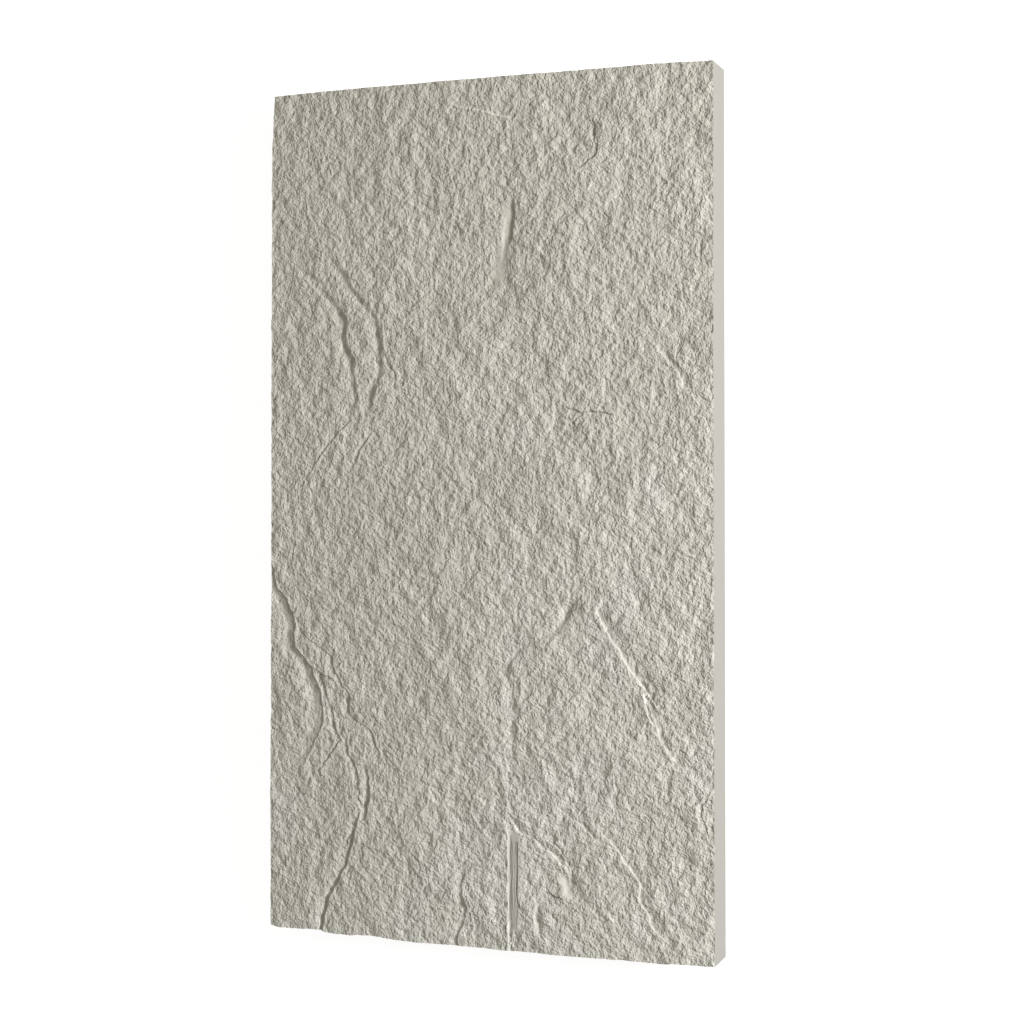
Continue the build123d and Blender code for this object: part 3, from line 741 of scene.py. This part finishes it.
def face_height(tree, x, y, given, breaks):
    """Height of the face over the floor, and how smooth it is."""
    thickness, seed = given["Thickness"], given["Seed"]
    across = multiply(tree, x, 1 / half_width)
    along = multiply(tree, y, 1 / half_length)
    crown = add(tree, multiply(tree, across, across, given["Crown Across"]),
                multiply(tree, along, along, given["Crown Along"]))
    height = subtract(tree, thickness, add(tree, crown, given["Grain Allowance"]))
    for (centre_x, centre_y), reach_across, reach_along, depth in hollows:
        u = maths(tree, "DIVIDE", subtract(tree, x, centre_x), reach_across)
        v = maths(tree, "DIVIDE", subtract(tree, y, centre_y), reach_along)
        height = subtract(tree, height, multiply(tree, hump(tree, u, v), depth))
    cut, smooth_floor = 0.0, 0.0
    for name, (to_right, depth) in breaks.items():
        this_cut, this_floor = split_cut(tree, to_right, depth, splits[name])
        cut = add(tree, cut, this_cut)
        smooth_floor = add(tree, smooth_floor, this_floor)
    furrow_x, furrow_depth = follow(tree, y, furrow_line)
    off_furrow = maths(tree, "DIVIDE", subtract(tree, x, furrow_x), furrow_half_width)
    bowl = multiply(tree, hump(tree, off_furrow), furrow_depth)
    cut = add(tree, cut, bowl)
    smooth_floor = add(tree, smooth_floor, multiply(tree, bowl, 1 / deepest(furrow_line)))
    smooth_floor = maths(tree, "MINIMUM", smooth_floor, 1.0)
    lumps = noise(tree, x, y, seed, moulded_grain["size"], moulded_grain["detail"],
                  moulded_grain["roughness"], grain_fineness)
    calm_left = remap(tree, x, calm_left_from, calm_left_to, calm_left_share, 1.0, smooth=True)
    for size, swell_height, noise_slice in slow_swells:
        swell = noise(tree, x, y, add(tree, seed, noise_slice), size)
        height = add(tree, height, multiply(tree, swell, calm_left, swell_height))
    rough = subtract(tree, 1.0, smooth_floor)
    grain = multiply(tree, lumps, moulded_grain["height"], rough)
    height = add(tree, subtract(tree, height, cut), grain)
    highest = subtract(tree, thickness, peak_rounding)
    return maths(tree, "SMOOTH_MIN", height, highest, peak_rounding), smooth_floor


def with_notes(tree, mesh, notes):
    """Mesh whose points hold the named values that the finish needs."""
    for name, value in notes.items():
        mesh = node(tree, "GeometryNodeStoreNamedAttribute",
                    {"Name": name, "Geometry": mesh, "Value": value},
                    data_type="FLOAT", domain="POINT").outputs["Geometry"]
    return mesh


def with_sides_and_back(tree, face, place):
    """Face with its rim drawn down to the floor, and the back filled in between."""
    faces_at_edge = tree.nodes.new("GeometryNodeInputMeshEdgeNeighbors").outputs["Face Count"]
    rim = node(tree, "FunctionNodeCompare", {"A": faces_at_edge, "B": 1},
               data_type="INT", operation="EQUAL").outputs[0]
    drawn = node(tree, "GeometryNodeExtrudeMesh",
                 {"Mesh": face, "Selection": rim, "Offset Scale": 0.0}, mode="EDGES").outputs
    on_floor = node(tree, "ShaderNodeVectorMath", {0: place, 1: (1.0, 1.0, 0.0)},
                    operation="MULTIPLY").outputs[0]
    walled = node(tree, "GeometryNodeSetPosition", {
        "Geometry": drawn["Mesh"], "Selection": drawn["Top"], "Position": on_floor,
    }).outputs["Geometry"]
    floor_line = node(tree, "GeometryNodeMeshToCurve", {"Mesh": walled, "Selection": drawn["Top"]})
    back = node(tree, "GeometryNodeFillCurve", {"Curve": floor_line.outputs["Curve"]}, mode="NGONS")
    back_down = node(tree, "GeometryNodeFlipFaces", {"Mesh": back.outputs["Mesh"]})
    whole = tree.nodes.new("GeometryNodeJoinGeometry")
    for part in (back_down.outputs["Mesh"], walled):
        tree.links.new(part, whole.inputs["Geometry"])
    return node(tree, "GeometryNodeMergeByDistance", {
        "Geometry": whole.outputs["Geometry"], "Distance": weld_distance,
    }).outputs["Geometry"]


def with_chips(tree, mesh, point, edges, step, given):
    """Mesh with its four upper arrises chipped inwards."""
    x, y, z = point
    foot_line, head_line, lean_line = edges
    chip = noise(tree, x, y, add(tree, given["Seed"], chip_slice), edge_chip_size, **chip_grain)
    up_on_face = maths(tree, "GREATER_THAN", z, panel_thickness / 2)
    chip = multiply(tree, remap(tree, chip, *chip_range), given["Edge Chip"], up_on_face)
    rim_width = multiply(tree, step, rim_share)
    at_right = maths(tree, "GREATER_THAN", x, subtract(tree, half_width, rim_width))
    at_left = maths(tree, "LESS_THAN", x, add(tree, lean_line, rim_width, -half_width))
    head_limit = subtract(tree, half_length, add(tree, head_line, rim_width))
    at_head = maths(tree, "GREATER_THAN", y, head_limit)
    at_foot = maths(tree, "LESS_THAN", y, add(tree, foot_line, rim_width, -half_length))
    return moved(tree, mesh, x=multiply(tree, subtract(tree, at_left, at_right), chip),
                 y=multiply(tree, subtract(tree, at_foot, at_head), chip))


def with_finishes(tree, mesh, face_finish, side_finish):
    """Real mesh with sharp arrises and walls, and the two finishes."""
    real = node(tree, "GeometryNodeRealizeInstances", {"Geometry": mesh}).outputs["Geometry"]
    turn = tree.nodes.new("GeometryNodeInputMeshEdgeAngle").outputs["Unsigned Angle"]
    gentle = maths(tree, "LESS_THAN", turn, arris_angle)
    mesh = node(tree, "GeometryNodeSetShadeSmooth", {"Geometry": real, "Shade Smooth": gentle},
                domain="EDGE").outputs["Geometry"]
    mesh = node(tree, "GeometryNodeSetShadeSmooth", {"Geometry": mesh}).outputs["Geometry"]
    _, _, up = parts_of(tree, tree.nodes.new("GeometryNodeInputNormal").outputs[0])
    is_side = maths(tree, "LESS_THAN", up, side_upness)
    for finish, where in ((face_finish, True), (side_finish, is_side)):
        mesh = node(tree, "GeometryNodeSetMaterial", {
            "Geometry": mesh, "Material": finish, "Selection": where,
        }).outputs["Geometry"]
    return mesh


def panel_tree(face_finish, side_finish):
    """Geometry Nodes tree that makes the panel as one closed mesh, and the values of its inputs."""
    values = {
        "Width": panel_width, "Length": panel_length, "Thickness": panel_thickness,
        "Crown Across": crown_across, "Crown Along": crown_along,
        "Grain Allowance": grain_allowance, "Edge Chip": edge_chip,
        "Columns": face_columns, "Rows": face_rows, "Seed": grain_seed,
    }
    kinds = {name: "Int" if isinstance(value, int) else "Float" for name, value in values.items()}
    tree, given = new_group("split_stone_panel", "GeometryNodeTree", kinds,
                            {"Geometry": "Geometry"})
    mesh = node(tree, "GeometryNodeMeshGrid", {
        "Size X": given["Width"], "Size Y": given["Length"],
        "Vertices X": given["Columns"], "Vertices Y": given["Rows"],
    }).outputs["Mesh"]
    step = maths(tree, "DIVIDE", given["Width"], subtract(tree, given["Columns"], 1.0))
    place = tree.nodes.new("GeometryNodeInputPosition").outputs[0]
    x, y, z = parts_of(tree, place)

    # The rows near the foot and the head move to the outline, and the left side leans in
    foot_line, head_line, lean_line = outline(tree, x, y)
    near_foot = remap(tree, y, edge_blend - half_length, -half_length)
    near_head = remap(tree, y, half_length - edge_blend, half_length)
    near_left = remap(tree, x, edge_blend - half_width, -half_width)
    mesh = moved(tree, mesh, x=multiply(tree, lean_line, near_left),
                 y=subtract(tree, multiply(tree, foot_line, near_foot),
                            multiply(tree, head_line, near_head)))

    # Lines of broken stone wander a little, and points of each row move onto them
    wander = noise_to_whole * break_wander
    drifts = [multiply(tree, noise(tree, x, y, noise_slice, **wander_grain), wander)
              for noise_slice in (wander_slice_x, wander_slice_y)]
    places = (x, y, *drifts)
    breaks = {name: offset_from(tree, places, split) for name, split in splits.items()}
    mesh = moved(tree, mesh, x=snap_to_breaks(tree, x, breaks, step))
    height, smooth_floor = face_height(tree, x, y, given, breaks)
    mesh = moved(tree, mesh, z=height)

    # What the finish needs to know of each point
    notes = {"smooth_floor": smooth_floor}
    edges, lips = break_lines(tree, breaks)
    for kind, lines in (("edge", edges), ("crack", lips + crack_lines(tree, places))):
        offset, line_step, painted_light = nearest_line(tree, lines)
        notes.update({f"{kind}_offset": offset, f"{kind}_step": line_step, f"{kind}_stain": painted_light})
    mesh = with_notes(tree, mesh, notes)
    mesh = with_sides_and_back(tree, mesh, place)
    mesh = with_chips(tree, mesh, (x, y, z), (foot_line, head_line, lean_line), step, given)
    mesh = with_finishes(tree, mesh, face_finish, side_finish)
    node(tree, "NodeGroupOutput", {"Geometry": mesh})
    return tree, values


def mesh_from_tree(name, tree, values):
    """Run a Geometry Nodes tree once and keep its result as a plain mesh object."""
    piece = bpy.data.objects.new(name, bpy.data.meshes.new(name))
    bpy.context.scene.collection.objects.link(piece)
    modifier = piece.modifiers.new("shape", "NODES")
    modifier.node_group = tree
    for item in tree.interface.items_tree:
        if item.item_type == "SOCKET" and item.in_out == "INPUT":
            modifier[item.identifier] = values[item.name]
    view = bpy.context.evaluated_depsgraph_get()
    made = bpy.data.meshes.new_from_object(piece.evaluated_get(view))
    piece.modifiers.remove(modifier)
    piece.data = made
    made.name = name
    return piece


def noted_value(tree, name):
    """Value that the mesh holds for each point."""
    return node(tree, "ShaderNodeAttribute", attribute_name=name).outputs["Fac"]


def tool_stripes(tree, x, y):
    """Height of the fine parallel lines in the tool mark, and how much of them is here."""
    mark = splits["tool_mark"]
    left, top, _ = mark.line[1]
    right = left + mark.reach
    stripes = noise(tree, x, multiply(tree, y, stripe_stretch), 0.0, stripe_size, detail=1.0)
    past_left = remap(tree, x, left, left + mark.wall)
    before_right = remap(tree, x, right, right + mark.wall, 1.0, 0.0)
    below_top = remap(tree, y, top, top - stripe_fade)
    above_end = remap(tree, y, stripe_end, stripe_end + stripe_fade)
    striped = multiply(tree, past_left, before_right, below_top, above_end)
    return multiply(tree, stripes, striped, stripe_height), striped


def fine_relief_group():
    """Shader group: height of grain, lips and cracks too fine for the mesh; painted shade and
    highlights.
    """
    tree, given = new_group("fine_stone_relief", "ShaderNodeTree",
                            {"Grain": "Float", "Tooth": "Float"},
                            {"Height": "Float", "Painted Light": "Float"})
    x, y, z = parts_of(tree, tree.nodes.new("ShaderNodeTexCoord").outputs["Object"])
    patches = noise(tree, x, y, z, **fine_grain, fineness=grain_fineness)
    teeth = noise(tree, x, y, z, **tooth, fineness=grain_fineness)
    rough = subtract(tree, 1.0, noted_value(tree, "smooth_floor"))
    height = add(tree, multiply(tree, patches, given["Grain"]),
                 multiply(tree, teeth, given["Tooth"]))
    height = multiply(tree, height, rough)
    # Painted light along the lines: painted shade where the value is above nought, painted highlight
    # below
    painted_light = 0.0
    for kind in ("edge", "crack"):
        offset = noted_value(tree, kind + "_offset")
        drop = multiply(tree, maths(tree, "TANH", offset), noted_value(tree, kind + "_step"), 0.5)
        height = subtract(tree, height, drop)
        line_painted_light = noted_value(tree, kind + "_stain")
        painted_light = add(tree, painted_light, multiply(tree, hump(tree, offset), line_painted_light))
    # Painted shade over the floor of the tool mark, where its stripes are
    stripes, striped = tool_stripes(tree, x, y)
    node(tree, "NodeGroupOutput", {
        "Height": add(tree, height, stripes),
        "Painted Light": add(tree, painted_light, multiply(tree, striped, mark_floor_painted_shade)),
    })
    return tree


def mottled_paint_group():
    """Shader group: paint colour that drifts from patch to patch a little; painted light pales its foot.
    """
    tree, given = new_group("mottled_paint", "ShaderNodeTree",
                            {"Warm": "Color", "Cool": "Color", "Patch Size": "Float",
                             "Unevenness": "Float"},
                            {"Color": "Color"})
    x, y, z = parts_of(tree, tree.nodes.new("ShaderNodeTexCoord").outputs["Object"])
    drift = noise(tree, x, y, z, given["Patch Size"], detail=3.0, roughness=0.55)
    # Painted light: the colour turns cooler and paler towards the foot
    foot_painted_light = remap(tree, y, cool_from, cool_full, cool_at_head, cool_at_foot)
    coolness = remap(tree, add(tree, drift, foot_painted_light), -cool_span, cool_span)
    mix = node(tree, "ShaderNodeMix", {"Factor": coolness}, data_type="RGBA")
    colour_inputs = [socket for socket in mix.inputs if socket.type == "RGBA"]
    for name, socket in zip(("Warm", "Cool"), colour_inputs):
        tree.links.new(given[name], socket)
    colour = next(socket for socket in mix.outputs if socket.type == "RGBA")
    shade = noise(tree, y, x, z, given["Patch Size"], detail=4.0, roughness=0.6)
    brightness = add(tree, 1.0, multiply(tree, shade, given["Unevenness"]))
    node(tree, "NodeGroupOutput", {"Color": scaled(tree, colour, brightness)})
    return tree


def principled(name, roughness):
    """New material; returns it with its tree and its Principled BSDF's inputs."""
    material = bpy.data.materials.new(name)
    material.use_nodes = True
    inputs = material.node_tree.nodes["Principled BSDF"].inputs
    inputs["Roughness"].default_value = roughness
    return material, material.node_tree, inputs


def stone_face_finish(relief, paint):
    """Matt grey beige paint over the moulded grain, with shade and highlights painted along its lines.
    """
    material, tree, surface = principled("painted_stone_face", roughness=0.92)
    fine = node(tree, "ShaderNodeGroup", {"Grain": fine_grain_height, "Tooth": tooth_height},
                node_tree=relief).outputs
    colour = node(tree, "ShaderNodeGroup", face_paint, node_tree=paint).outputs["Color"]
    # Painted shade darkens the paint along the lines and over the tool mark's floor, no further than the
    # darkest painted shade, and painted highlights pale it
    painted_light_scale = subtract(tree, 1.0, maths(tree, "MINIMUM", fine["Painted Light"], darkest_painted_shade))
    tree.links.new(scaled(tree, colour, painted_light_scale), surface["Base Color"])
    bump = {"Strength": 1.0, "Distance": 1.0, "Height": fine["Height"]}
    tree.links.new(node(tree, "ShaderNodeBump", bump).outputs["Normal"], surface["Normal"])
    return material


def cast_side_finish(paint):
    """Smooth cream paint on the plain sides and back, darkened in part by painted shade."""
    material, tree, surface = principled("smooth_cast_side", roughness=0.7)
    colour = node(tree, "ShaderNodeGroup", side_paint, node_tree=paint).outputs["Color"]
    tree.links.new(colour, surface["Base Color"])
    return material


def make_floor():
    """Pale floor that keeps the panel's shadow and shows as white."""
    bpy.ops.mesh.primitive_plane_add(size=floor_size)
    floor = bpy.context.object
    floor.name = "floor"
    material, tree, surface = principled("white_floor", roughness=1.0)
    surface["Base Color"].default_value = floor_colour
    surface["Emission Color"].default_value = (1, 1, 1, 1)
    path = tree.nodes.new("ShaderNodeLightPath").outputs
    seen = maths(tree, "MAXIMUM", path["Is Camera Ray"], path["Is Glossy Ray"])
    tree.links.new(multiply(tree, seen, floor_glow), surface["Emission Strength"])
    floor.data.materials.append(material)


def make_lights():
    """One soft lamp low on the right, and even light from all round."""
    key = bpy.data.lights.new("key", "AREA")
    key.shape = "RECTANGLE"
    key.size = key.size_y = lamp_side
    key.energy = lamp_power
    key.color = lamp_colour
    lamp = bpy.data.objects.new("key", key)
    bpy.context.scene.collection.objects.link(lamp)
    level = lamp_distance * math.cos(lamp_rise)
    lamp.location = (level * math.cos(lamp_turn), level * math.sin(lamp_turn),
                     lamp_distance * math.sin(lamp_rise))
    lamp.rotation_euler = (-Vector(lamp.location)).to_track_quat("-Z", "Y").to_euler()
    world = bpy.data.worlds.new("studio")
    bpy.context.scene.world = world
    world.use_nodes = True
    sky = world.node_tree.nodes["Background"].inputs
    sky["Color"].default_value = sky_colour
    sky["Strength"].default_value = sky_strength


def make_camera():
    """Camera above the panel and to its right, as in the photograph."""
    lens = bpy.data.cameras.new("camera")
    lens.sensor_width = sensor_width
    lens.lens = focal_pixels / frame_pixels * sensor_width
    lens.shift_x, lens.shift_y = camera_shift
    lens.clip_end = camera_far
    camera = bpy.data.objects.new("camera", lens)
    bpy.context.scene.collection.objects.link(camera)
    camera.location = camera_place
    camera.rotation_euler = camera_turn
    bpy.context.scene.camera = camera


paint = mottled_paint_group()
tree, values = panel_tree(
    stone_face_finish(fine_relief_group(), paint), cast_side_finish(paint)
)
panel = mesh_from_tree("split_stone_board", tree, values)
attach(panel, "root")
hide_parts("stone_panel")

make_floor()
make_lights()
make_camera()
bpy.context.scene.view_settings.view_transform = "Standard"
